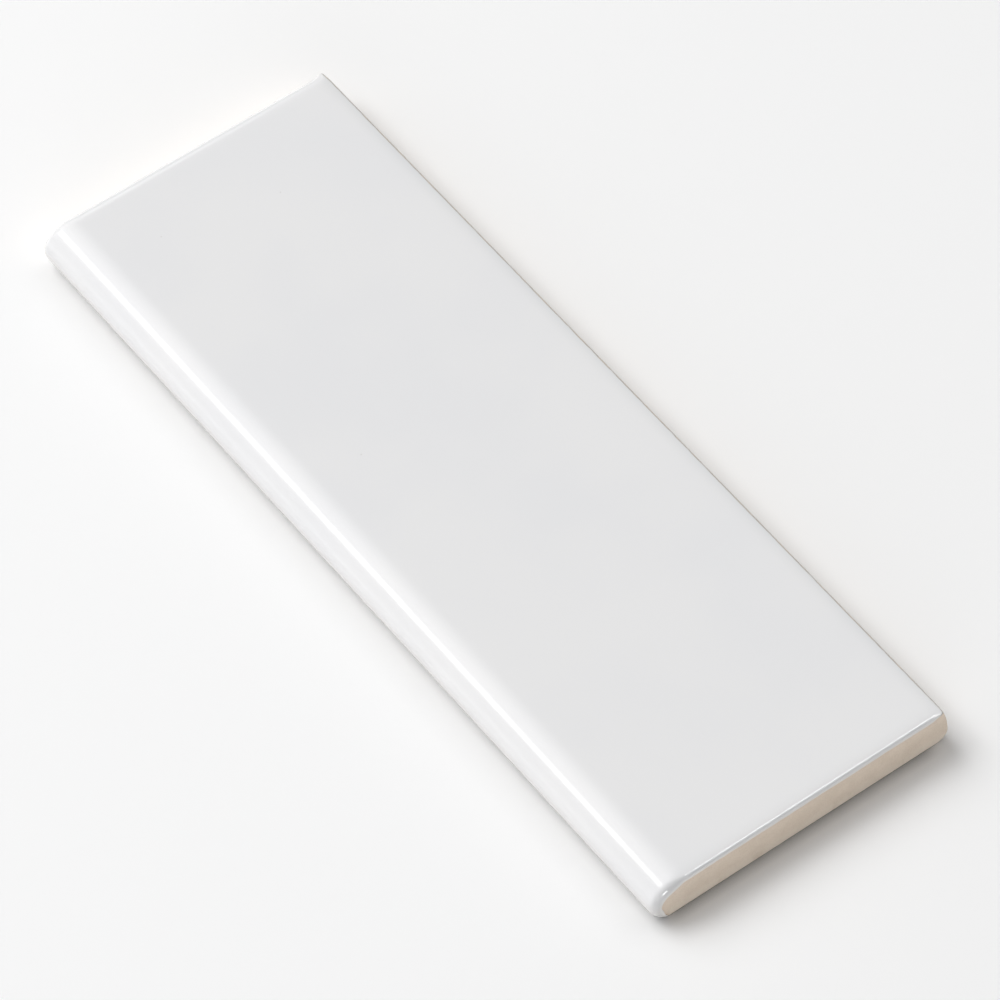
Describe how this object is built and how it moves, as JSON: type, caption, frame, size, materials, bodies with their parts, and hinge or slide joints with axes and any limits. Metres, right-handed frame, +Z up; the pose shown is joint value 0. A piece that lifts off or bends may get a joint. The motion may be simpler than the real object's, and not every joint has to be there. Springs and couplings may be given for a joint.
{
  "type": "bullnose tile",
  "caption": "Long narrow glazed ceramic wall tile with one rounded long edge that finishes the open edge of a tiled wall; bare ends and a keyed bed.",
  "frame": {"origin": "under the middle of the tile's box, on the floor that its bed rests on", "axes": "+X along the tile's length, +Y from the rounded nose to the plain back side, +Z up out of the glazed face"},
  "size_m": [0.1524, 0.0546, 0.0078],
  "materials": {
    "glazed_body": "gloss white glaze over a bare buff body at the ends and the bed"
  },
  "bodies": {
    "root": {"bullnose_tile": "glazed_body"}
  },
  "joints": []
}
